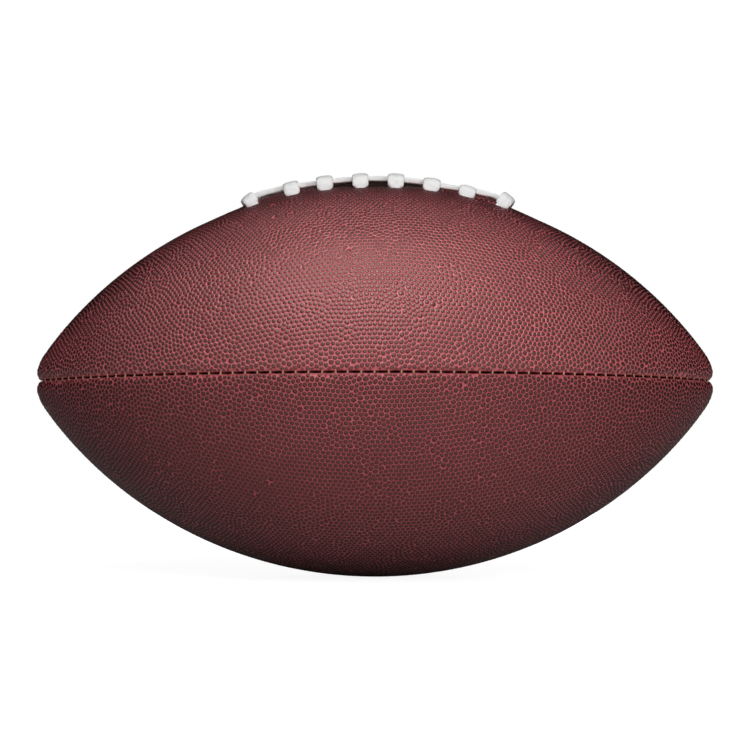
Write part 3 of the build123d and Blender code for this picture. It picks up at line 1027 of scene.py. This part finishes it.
class FOOTBALL_OT_seam_threads(bpy.types.Operator):
    """Make the stitches of all seams"""

    bl_idname = "football.make_seam_threads"
    bl_label = "Seam threads"

    def execute(self, context):
        scene = context.scene
        form = BallForm(scene.football_shape)
        thread = scene.football_thread
        material = thread_finish(thread)
        reach = thread.reach
        lacing_end = scene.football_shape.slit_half_length + LACING_MARGIN
        seams = [
            ("seam_thread_front", 90.0, -reach, reach),
            ("seam_thread_rear", -90.0, -reach, reach),
            ("seam_thread_bottom", 180.0, -reach, reach),
            ("seam_thread_top_left", 0.0, -reach, -lacing_end),
            ("seam_thread_top_right", 0.0, lacing_end, reach),
        ]
        random = np.random.default_rng(STITCH_SEED)
        for node, turn, first, last in seams:
            points, faces = [], []
            for count in range(math.ceil(first / thread.pitch), math.floor(last / thread.pitch) + 1):
                shaken = thread.pitch * (count + random.normal(0.0, STITCH_SHAKE))
                for ply in (0, 1):
                    start = (2 * len(points) + ply) * STITCH_RINGS * STITCH_SIDES
                    faces += tube_faces(STITCH_RINGS, STITCH_SIDES, start)
                points.append(stitch(form, shaken, thread.ply_radius, random))
            line = np.concatenate(points)
            sin_turn, cos_turn = math.sin(math.radians(turn)), math.cos(math.radians(turn))
            height = line[:, 2] - AXIS_HEIGHT
            turned_y = line[:, 1] * cos_turn - height * sin_turn
            turned_z = line[:, 1] * sin_turn + height * cos_turn + AXIS_HEIGHT
            line = np.stack([line[:, 0], turned_y, turned_z], axis=-1)
            make_piece("stitches_" + node, line, faces, material, [node])
        return {"FINISHED"}


def lace_finish(lace):
    """Grained white lace"""
    finish = Finish("white_lace")
    grain = finish.noise(0.7 * MM, 4.0, 0.6)
    broad = finish.noise(6.0 * MM)
    colour = finish.mix(broad.between(0.2692, 1.0385), tuple(lace.colour), LACE_SHADE)
    colour = finish.mix(grain.between(0.46875, 1.09375), colour, LACE_SPECK)
    crinkle = finish.bump(finish.noise(2.4 * MM, 3.0), 0.9 * MM, 0.8)
    bump = finish.bump(grain, 0.22 * MM, 0.8, crinkle)
    return finish.dress(base_color=colour, roughness=0.62 + 0.2 * (grain - 0.5), normal=bump)


def lace_bar(form, lace, run, lean, crown, breadth):
    """Points of one cross bar: out of one eyelet, over the strand and into the other"""
    foot = lace.foot_offset
    middle = crown - lace.thickness / 2
    half = [
        (-foot, -6.0 * MM),
        (-foot, -2.5 * MM),
        (-foot + 0.1 * MM, 1.8 * MM),
        (-0.74 * foot, middle - 1.0 * MM),
        (-0.34 * foot, middle + 0.15 * MM),
    ]
    corners = half + [(-across, rise) for across, rise in reversed(half)]
    wide, through = soft_section(breadth * lace.width, lace.thickness, BAR_SQUARENESS)
    angle = run / form.radius + math.radians(lean)
    base = form.top_place(run, 0.0, 0.0)
    points = []
    for (across, rise), (step_across, step_rise) in zip(*soft_line(corners, BAR_RINGS)):
        from_foot = min(1.0, max(0.0, (rise + GATHER_START) / GATHER_REACH))
        sideways = wide * (GATHERED + (1.0 - GATHERED) * math.sqrt(1.0 - (1.0 - from_foot) ** 2))
        y = across - through * step_rise
        z = rise + through * step_across
        x = sideways * math.cos(angle) + z * math.sin(angle)
        height = z * math.cos(angle) - sideways * math.sin(angle)
        points.append(lumpy(base + np.stack([x, y, height], axis=-1)))
    return np.concatenate(points)


def lace_strip(form, corners, width, thickness, random):
    """Points of a length of lace along the seam, its edge a little wavy"""
    across, through = soft_section(width, thickness, STRIP_SQUARENESS)
    phase = random.uniform(0.0, 2 * math.pi, len(STRIP_WAVES))
    points = []
    for (run, rise), (step_run, step_rise) in zip(*soft_line(np.array(corners) * MM, STRIP_RINGS)):
        wave = sum(math.sin(run / size + turn) for size, turn in zip(STRIP_WAVES, phase))
        thick = through * (1.0 + STRIP_WAVE_SHARE * wave)
        points.append(lumpy(form.top_place(run - thick * step_rise, across, rise + thick * step_run)))
    return np.concatenate(points)


class FOOTBALL_OT_lace(bpy.types.Operator):
    """Make the lace: eight cross bars over one long strand, and its loose end"""

    bl_idname = "football.make_lace"
    bl_label = "Lace"

    def execute(self, context):
        scene = context.scene
        form = BallForm(scene.football_shape)
        lace = scene.football_lace
        random = np.random.default_rng(LACE_SEED)
        parts = [lace_bar(form, lace, *bar) for bar in BARS]
        parts.append(lace_strip(form, STRAND, lace.width, STRAND_THICKNESS, random))
        loose_width = LOOSE_END_BREADTH * lace.width
        parts.append(lace_strip(form, LOOSE_END, loose_width, LOOSE_END_THICKNESS, random))
        faces = []
        total = 0
        for part in parts:
            faces += tube_faces(len(part) // LACE_SIDES, LACE_SIDES, total)
            total += len(part)
        make_piece("laced_strand", np.concatenate(parts), faces, lace_finish(lace), ["lace"])
        return {"FINISHED"}


class FOOTBALL_OT_tongue(bpy.types.Operator):
    """Make the tongue that shows dark in the laced slit, coloured near-black as painted shade under the
    strand
    """

    bl_idname = "football.make_tongue"
    bl_label = "Tongue"

    def execute(self, context):
        scene = context.scene
        ball = scene.football_shape
        lace = scene.football_lace
        form = BallForm(ball)
        half_length = ball.slit_half_length - TONGUE_END
        sides = np.linspace(-1.0, 1.0, TONGUE_SIDES)
        points = []
        for run in np.linspace(-half_length, half_length, TONGUE_RINGS):
            share = 1.0 - (run / ball.slit_half_length) ** 2
            half_width = ball.slit_half_width * share + TONGUE_HEM
            bulge = lace.tongue_rise * (1.0 - min(1.0, abs(run) / TONGUE_BULGE_REACH) ** TONGUE_BULGE_POWER)
            end_fall = min(1.0, (half_length - abs(run)) / TONGUE_END_FALL)
            rise = max(bulge, end_fall * (np.interp(run, LIFT_RUNS, LIFTS) + TONGUE_COVER))
            round_top = np.sqrt(np.maximum(0.0, 1.0 - np.abs(sides) ** TONGUE_ROUNDNESS))
            height = (rise + TONGUE_SINK) * round_top - TONGUE_SINK
            points.append(form.top_place(run, sides * half_width, height))
        faces = []
        for ring in range(TONGUE_RINGS - 1):
            for side in range(TONGUE_SIDES - 1):
                low = ring * TONGUE_SIDES + side
                high = low + TONGUE_SIDES
                faces.append([low, high, high + 1, low + 1])
        # Near-black colours: painted shade under the strand
        colours = [lace.tongue_shade_colour, (0.032, 0.018, 0.015)]
        material = grained_finish(
            "dark_tongue", colours, size=0.9 * MM, roughness=0.85, swing=0.1, depth=0.1 * MM,
            strength=0.6, specular_ior_level=0.1)
        make_piece("slit_tongue", np.concatenate(points), faces, material, ["lace_tongue"])
        return {"FINISHED"}


def dress_nodes(names, material):
    """Give CAD pieces a finish"""
    for name in names:
        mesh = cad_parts[name].data
        mesh.materials.clear()
        mesh.materials.append(material)


class FOOTBALL_OT_inner_layers(bpy.types.Operator):
    """Finish the linings, eyelet facings and bladder"""

    bl_idname = "football.finish_inner_layers"
    bl_label = "Inner layers"

    def execute(self, context):
        cloth = grained_finish(
            "lining_cloth", [(0.42, 0.40, 0.36), (0.30, 0.28, 0.25)],
            size=0.8 * MM, roughness=0.85, swing=0.1, depth=0.2 * MM, detail=2.0)
        hide = grained_finish(
            "facing_leather", [(0.16, 0.055, 0.05), (0.10, 0.035, 0.03)],
            size=1.1 * MM, roughness=0.6, swing=0.2, depth=0.1 * MM)
        rubber = grained_finish(
            "bladder_rubber", [(0.018, 0.018, 0.018), (0.035, 0.034, 0.033)],
            size=10.0 * MM, roughness=0.55, swing=0.2)
        dress_nodes([panel[0].replace("cover", "lining") for panel in PANELS], cloth)
        dress_nodes(["lace_facing_front", "lace_facing_rear"], hide)
        dress_nodes(["bladder"], rubber)
        return {"FINISHED"}


class FOOTBALL_OT_valve(bpy.types.Operator):
    """Finish the valve stem and its core"""

    bl_idname = "football.finish_valve"
    bl_label = "Valve"

    def execute(self, context):
        rubber = grained_finish(
            "valve_rubber", [(0.022, 0.021, 0.021), (0.05, 0.047, 0.046)],
            size=1.2 * MM, roughness=0.5, swing=0.25, depth=0.05 * MM)
        dress_nodes(["valve_stem", "valve_core"], rubber)
        return {"FINISHED"}


def aim(thing, target):
    """Turn a lamp or the camera towards a point"""
    thing.rotation_euler = (Vector(target) - thing.location).to_track_quat("-Z", "Y").to_euler()


def add_lamp(name, power, mirrored, azimuth, elevation, distance, width, height):
    """Add one soft rectangular lamp at angles to the right of the camera's side and over the horizon"""
    data = bpy.data.lights.new(name, "AREA")
    data.shape = "RECTANGLE"
    data.size, data.size_y = width, height
    data.energy = power
    lamp = add_object(name, data)
    lamp.visible_glossy = mirrored
    outward = distance * math.cos(math.radians(elevation))
    sideways = outward * math.sin(math.radians(azimuth))
    forward = outward * math.cos(math.radians(azimuth))
    upward = distance * math.sin(math.radians(elevation))
    middle = Vector((0.0, 0.0, AXIS_HEIGHT))
    lamp.location = middle + Vector((sideways, -forward, upward))
    aim(lamp, middle)


class FOOTBALL_OT_stage(bpy.types.Operator):
    """Make the floor, lamps, background and camera"""

    bl_idname = "football.make_stage"
    bl_label = "Stage"

    def execute(self, context):
        scene = context.scene
        look = scene.football_stage
        self.make_floor()
        self.make_world(look)
        for name, setting, *placing in LAMPS:
            add_lamp(name, getattr(look, setting), *placing)
        self.make_camera(scene, look)
        scene.view_settings.view_transform = "Standard"
        return {"FINISHED"}

    def make_floor(self):
        """A white floor under the ball"""
        finish = Finish("white_floor")
        place = finish.node("ShaderNodeTexCoord", output="Object")
        away = finish.node("ShaderNodeVectorMath", {"operation": "LENGTH"}, {"Vector": place}, "Value")
        shown = finish.white_shown(finish.along("Y").between(*FLOOR_BEHIND))
        white = finish.mix(away.between(*FLOOR_PALING), (0.9, 0.9, 0.9, 1.0), WHITE)
        glow = finish.mix(shown, (0.0, 0.0, 0.0, 1.0), white)
        grey = (0.5, 0.5, 0.5, 1.0)
        finish.dress(base_color=grey, roughness=0.9, emission_color=glow, emission_strength=1.0)
        signs = ((-1, -1), (1, -1), (1, 1), (-1, 1))
        corners = [(FLOOR_REACH * right, FLOOR_REACH * back, 0.0) for right, back in signs]
        mesh = bpy.data.meshes.new("floor")
        mesh.from_pydata(corners, [], [[0, 1, 2, 3]])
        mesh.materials.append(finish.material)
        floor = add_object("floor", mesh)

    def make_world(self, look):
        """White all round for the camera, and a weak even light on the ball"""
        world = bpy.data.worlds.new("soft_surround")
        world.use_nodes = True
        bpy.context.scene.world = world
        maker = NodeMaker(world.node_tree)
        shown = maker.white_shown(maker.along("Y", "Generated").between(*SURROUND_BEHIND))
        background = world.node_tree.nodes["Background"]
        background.inputs["Color"].default_value = WHITE
        fill = look.fill_level * maker.ray("Is Diffuse Ray")
        maker.feed(background, "Strength", fill + shown)

    def make_camera(self, scene, look):
        """A camera that shows the ball at its length in the picture"""
        data = bpy.data.cameras.new("camera")
        data.sensor_width = 36.0
        scale = scene.football_shape.length / look.ball_pixels
        view_width = look.image_pixels * scale
        data.lens = data.sensor_width * look.distance / view_width
        camera = add_object("camera", data)
        forward = look.distance * math.cos(look.elevation)
        upward = look.distance * math.sin(look.elevation)
        camera.location = (0.0, -forward, AXIS_HEIGHT + look.aim_rise + upward)
        aim(camera, (0.0, 0.0, AXIS_HEIGHT + look.aim_rise))
        scene.camera = camera


class FOOTBALL_PT_panel(bpy.types.Panel):
    """Lists the steps that dress the ball"""

    bl_idname = "FOOTBALL_PT_panel"
    bl_label = "Football"
    bl_space_type = "VIEW_3D"
    bl_region_type = "UI"
    bl_category = "Football"

    def draw(self, context):
        column = self.layout.column()
        for operator in OPERATORS:
            column.operator(operator.bl_idname)
        for word in GROUPS:
            group = getattr(context.scene, word)
            box = column.box()
            box.label(text=group.bl_rna.description)
            for prop in group.__annotations__:
                box.prop(group, prop)


OPERATORS = (
    FOOTBALL_OT_cover,
    FOOTBALL_OT_seam_threads,
    FOOTBALL_OT_lace,
    FOOTBALL_OT_tongue,
    FOOTBALL_OT_inner_layers,
    FOOTBALL_OT_valve,
    FOOTBALL_OT_stage,
)

GROUPS = {
    "football_shape": BallShape,
    "football_cover": CoverFinish,
    "football_thread": ThreadFinish,
    "football_lace": LaceFinish,
    "football_stage": StageLook,
}


def register():
    for group in GROUPS.values():
        bpy.utils.register_class(group)
    for word, group in GROUPS.items():
        setattr(bpy.types.Scene, word, PointerProperty(type=group))
    for operator in OPERATORS:
        bpy.utils.register_class(operator)
    bpy.utils.register_class(FOOTBALL_PT_panel)


def unregister():
    bpy.utils.unregister_class(FOOTBALL_PT_panel)
    for operator in reversed(OPERATORS):
        bpy.utils.unregister_class(operator)
    for word in GROUPS:
        delattr(bpy.types.Scene, word)
    for group in reversed(GROUPS.values()):
        bpy.utils.unregister_class(group)


def main():
    register()
    bpy.ops.football.make_stage()
    bpy.ops.football.make_cover()
    bpy.ops.football.make_seam_threads()
    bpy.ops.football.make_lace()
    bpy.ops.football.make_tongue()
    bpy.ops.football.finish_inner_layers()
    bpy.ops.football.finish_valve()


if __name__ == "__main__":
    main()
